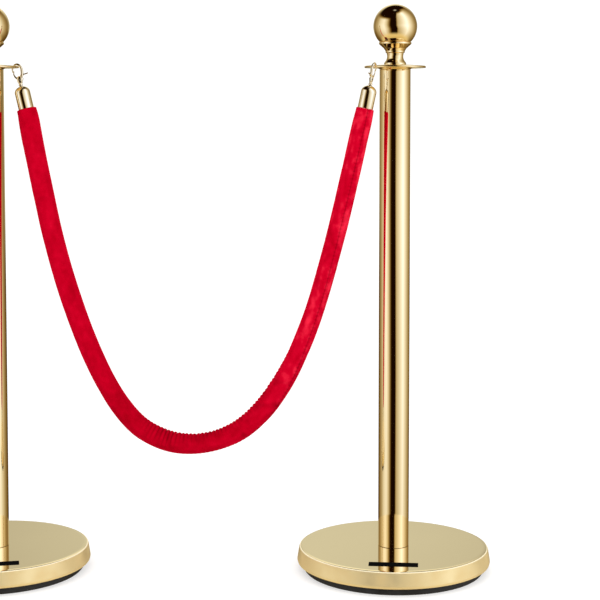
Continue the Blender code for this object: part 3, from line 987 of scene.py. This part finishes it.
def plain_radius(share, run):
    """The sleeve's radius without its folds, drawn in at the ferrules and rounded at its hems."""
    end = np.minimum(run, run[-1] - run)
    radius = np.interp(share, *zip(*ROPE_WIDTHS)) * MM * (1 - CUFF_TAPER * bell(end, 0, CUFF_LENGTH))
    hem = np.clip(end / CUFF_HEM, 0, 1)
    return radius - CUFF_HEM * (1 - np.sqrt(1 - (1 - hem) ** 2))


def sleeve_patterns(share, run, angles):
    """How deep each pattern of RELIEF is over the sleeve: 1 in its valleys and 0 where it's absent."""
    from_inside = np.minimum(angles, 2 * math.pi - angles)[None, :]
    seam = np.interp(share, *zip(*SEAM_LINE))
    off_seam = np.abs((angles[None, :] - seam[:, None] + math.pi) % (2 * math.pi) - math.pi)
    wander = run + PUCKER_WANDER * np.array([noise.noise((place * 60, 3.7, 0)) for place in run])
    bent = (fade(share, *BEND_START) * (1 - fade(share, *BEND_END)))[:, None]
    uneven = 0.75 + 0.6 * cloud(run, angles, 90, 0.7, 5.0)
    gathers = valleys(wander, PUCKER_PITCH, 1.1) * bent * uneven * bell(from_inside, 0, 0.8)
    folds = valleys(wander, PUCKER_PITCH, 0.5) * bell(share, *FOLDS_PLACE)[:, None]
    crimps = valleys(run, CRIMP_PITCH, 1.0) * bell(share, *CRIMPS_PLACE)[:, None]
    return {
        "gathers": gathers,
        "folds": folds * (1 - fade(from_inside, 1.7, 1.2)),
        "crimps": crimps * (1 - fade(from_inside, 1.8, 1.4)),
        "stitches": valleys(run, STITCH_PITCH, 0.5) * (1 - fade(off_seam, 0.24, 0.10)),
        "groove": bell(off_seam, 0, 0.05),
        "creases": np.maximum(0, cloud(run, angles, 70, 0.9, 9.0) - 0.16) * (0.35 + 0.65 * bent),
    }


def sleeve_tone_and_sheen(share, run, angles):
    """How light the sleeve is in patches, darker before the bend and lighter after it, with a painted
    highlight down the outer front edge of the right limb.
    """
    mottling = 0.55 + 0.45 * fade(share, 0.6, 0.3)[:, None]
    broad = 0.28 * cloud(run, angles, 18, 1.0, 4.0)
    fine = 0.26 * cloud(run, angles, 70, 2.4, 7.0)
    nap_and_sheen = 0.5 + mottling * (broad + fine)
    nap_and_sheen += (0.16 * fade(share, 0.64, 0.2) - 0.16 * bell(share, 0.43, 0.13))[:, None]
    # painted highlight down the outer front edge of the right limb
    edge = bell(angles, 0.8 * math.pi, 0.5) * fade(share, 0.62, 0.2)[:, None]
    nap_and_sheen += 0.14 * edge
    return nap_and_sheen


def tube_mesh(name, points):
    """A closed tube through rings of points, with a flat cap on each end."""
    rows, sides = points.shape[:2]
    mesh = bpy.data.meshes.new(name)
    starts = np.arange(rows - 1)[:, None] * sides
    first = (starts + np.arange(sides)[None, :]).ravel()
    following = (starts + (np.arange(sides)[None, :] + 1) % sides).ravel()
    quads = np.stack([first, following, following + sides, first + sides], axis=1)
    caps = [list(range(sides))[::-1], [(rows - 1) * sides + index for index in range(sides)]]
    mesh.from_pydata(points.reshape(-1, 3).tolist(), [], [*quads.tolist(), *caps])
    return mesh


def make_rope():
    """The velvet sleeve: hemmed ends, a stitched seam, and folds gathered on the inside of the bend."""
    line, run = rope_line()
    share = run / run[-1]
    angles = np.linspace(0, 2 * math.pi, ROPE_SIDES, endpoint=False)
    relief = LUMP_HEIGHT * cloud(run, angles, 20, 1.3, 0.0)
    # painted shade for the valleys of the folds, summed over the patterns by their weights
    painted_fold_shade = 0
    for name, pattern in sleeve_patterns(share, run, angles).items():
        depth, shade_weight = RELIEF[name]
        relief = relief - depth * pattern
        painted_fold_shade = painted_fold_shade + shade_weight * pattern
    radius = plain_radius(share, run)[:, None] + MM * relief

    across = Vector(JOINTS["rope_swing"]["axis"]).cross(Vector((0, 0, 1))).normalized()
    tangent = np.gradient(line, axis=0)
    tangent /= np.linalg.norm(tangent, axis=1)[:, None]
    side_way = np.tile(np.array(across), (len(line), 1))
    inward = np.cross(tangent, side_way)
    inward *= np.sign(inward[len(line) // 2, 2])
    spokes = np.cos(angles)[None, :, None] * inward[:, None, :]
    spokes = spokes + np.sin(angles)[None, :, None] * side_way[:, None, :]

    mesh = tube_mesh("rope_sleeve", line[:, None, :] + radius[:, :, None] * spokes)
    shades = {"fold_shade": np.clip(painted_fold_shade, 0, 1), "nap_and_sheen": sleeve_tone_and_sheen(share, run, angles)}
    for name, values in shades.items():
        attribute = mesh.attributes.new(name, "FLOAT", "POINT")
        attribute.data.foreach_set("value", values.astype(np.float32).ravel())
    shape = bmesh.new()
    shape.from_mesh(mesh)
    bmesh.ops.recalc_face_normals(shape, faces=shape.faces)
    shape.to_mesh(mesh)
    shape.free()
    mesh.shade_smooth()
    rope = bpy.data.objects.new("rope_sleeve", mesh)
    bpy.context.scene.collection.objects.link(rope)
    finished(rope, "velvet", "rope", "velvet", "velvet_rope")
    return rope, line


# ---------------------------------------------------------------- studio


def make_camera():
    data = bpy.data.cameras.new("camera")
    data.lens = CAMERA_LENS
    data.shift_y = CAMERA_SHIFT
    camera = bpy.data.objects.new("camera", data)
    camera.location = CAMERA_PLACE
    camera.rotation_euler.x = math.radians(90 - CAMERA_DOWN)
    bpy.context.scene.collection.objects.link(camera)
    bpy.context.scene.camera = camera


def studio_glow(azimuth, elevation):
    """The studio's colour in a direction, in degrees."""
    turn = np.interp(elevation, *zip(*GLOW_TURN))
    boxes = np.interp(azimuth - turn, *zip(*GLOW_ROUND))
    low = np.interp(azimuth, *zip(*LOW_SHARE))
    boxes = boxes * np.interp(elevation, BOX_ELEVATIONS, (LOWEST_SHARE * low, low, 1.0, HIGH_SHARE))
    ceiling = fade(elevation, np.interp(azimuth, *zip(*GLOW_TOPS)), TOP_SOFTNESS)
    boxes = boxes + (CEILING_GLOW - boxes) * ceiling
    ground = np.interp(elevation, *zip(*GROUND_LEVELS))
    below = fade(-elevation, *GROUND_EDGE)
    behind = bell(abs(azimuth), 180, BACKDROP_WIDTH)
    behind = behind * fade(elevation, *BACKDROP_FOOT) * (1 - fade(elevation, *BACKDROP_TOP))
    backdrop = np.interp(elevation, *zip(*BACKDROP_LEVELS))
    overhead = OVERHEAD_GLOW * bell(elevation, 90, OVERHEAD_WIDTH)
    colour = []
    for power, tint, wall in zip(GLOW_POWERS, GROUND_TINT, BACKDROP_TINT):
        level = boxes**power
        level = level + (ground**power * tint - level) * below
        level = level + (backdrop * wall - level) * behind
        colour.append(float(level + overhead))
    return colour


def make_dome():
    """What the gold mirrors: soft boxes, flags between them and a pale ground, seen by gloss alone."""
    shape = bmesh.new()
    bmesh.ops.create_uvsphere(shape, u_segments=240, v_segments=120, radius=DOME_RADIUS)
    dome = from_shape("dome", shape)
    dome.location.z = DOME_HEIGHT
    glow = []
    for vert in dome.data.vertices:
        way = vert.co.normalized()
        azimuth = math.degrees(math.atan2(way.x, -way.y))
        elevation = math.degrees(math.asin(max(-1, min(1, way.z))))
        glow += [*studio_glow(azimuth, elevation), 1.0]
    colours = dome.data.attributes.new("glow", "FLOAT_COLOR", "POINT")
    colours.data.foreach_set("color", glow)
    material = bpy.data.materials.new("dome_glow")
    material.use_nodes = True
    tree = material.node_tree
    tree.nodes.clear()
    level = tree.nodes.new("ShaderNodeAttribute")
    level.attribute_name = "glow"
    light = tree.nodes.new("ShaderNodeEmission")
    output = tree.nodes.new("ShaderNodeOutputMaterial")
    tree.links.new(level.outputs["Color"], light.inputs["Color"])
    tree.links.new(light.outputs["Emission"], output.inputs["Surface"])
    material.cycles.emission_sampling = "NONE"
    dome.data.materials.append(material)
    for ray in ("camera", "diffuse", "transmission", "volume_scatter", "shadow"):
        setattr(dome, f"visible_{ray}", False)


def make_floor():
    shape = bmesh.new()
    bmesh.ops.create_grid(shape, x_segments=2, y_segments=2, size=FLOOR_SIZE / 2)
    floor = from_shape("floor", shape)
    finish = Finish("pale_floor", Roughness=0.9, Specular_IOR_Level=0.0, Base_Color=(0.6, 0.6, 0.6, 1.0))
    finish.shader.inputs["Emission Color"].default_value = (1.0, 1.0, 1.0, 1.0)
    finish.shader.inputs["Emission Strength"].default_value = FLOOR_GLOW
    floor.data.materials.append(finish.material)
    floor.visible_glossy = False


def make_light(name, place, power):
    """A soft box aimed at the middle of the object, which lights cloth and rubber but isn't mirrored."""
    data = bpy.data.lights.new(name, "AREA")
    data.shape = "SQUARE"
    data.size = LIGHT_SIZE
    data.energy = power
    light = bpy.data.objects.new(name, data)
    light.location = place
    aim = Vector(LIGHT_AIM) - Vector(place)
    light.rotation_euler = aim.to_track_quat("-Z", "Y").to_euler()
    light.visible_glossy = False
    bpy.context.scene.collection.objects.link(light)


def make_world():
    """An even white surround, which isn't mirrored."""
    world = bpy.data.worlds.new("world")
    world.use_nodes = True
    background = world.node_tree.nodes["Background"]
    background.inputs["Color"].default_value = (1.0, 1.0, 1.0, 1.0)
    background.inputs["Strength"].default_value = WORLD_LIGHT
    world.cycles_visibility.glossy = False
    bpy.context.scene.world = world
    bpy.context.scene.view_settings.view_transform = "Standard"


def finish_hidden_nodes():
    """Materials for the CAD nodes that stay: the pieces inside the posts and ferrules."""
    kinds = {
        "base_weight": "iron",
        "base_bolt": "steel",
        "base_washer": "steel",
        "tube_foot_plug": "steel",
        "tube_top_plug": "steel",
        "finial_stud": "steel",
        "ball_nut": "steel",
        "core_end": "cotton",
    }
    for side in SIDES:
        for kind, finish in kinds.items():
            node = frame["nodes"][f"{side}_{kind}"]
            node.data.materials.clear()
            node.data.materials.append(FINISHES[finish])


make_camera()
make_world()
make_dome()
make_floor()
for light in LIGHTS:
    make_light(*light)

rope, rope_path = make_rope()
on_rope = []
for side in SIDES:
    low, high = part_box(f"{side}_post_tube")
    post_x = (low.x + high.x) / 2
    make_base(side, post_x)
    make_tube(side, post_x)
    make_ring_plate(side, post_x)
    make_finial(side, post_x)
    on_rope.append(make_ferrule(side))
    make_hook(side)
    make_trigger(side)
    on_rope += [bpy.data.objects[f"{side}_{name}"] for name in HOOK_PIECES]
    on_rope.append(frame["nodes"][f"{side}_core_end"])
finish_hidden_nodes()
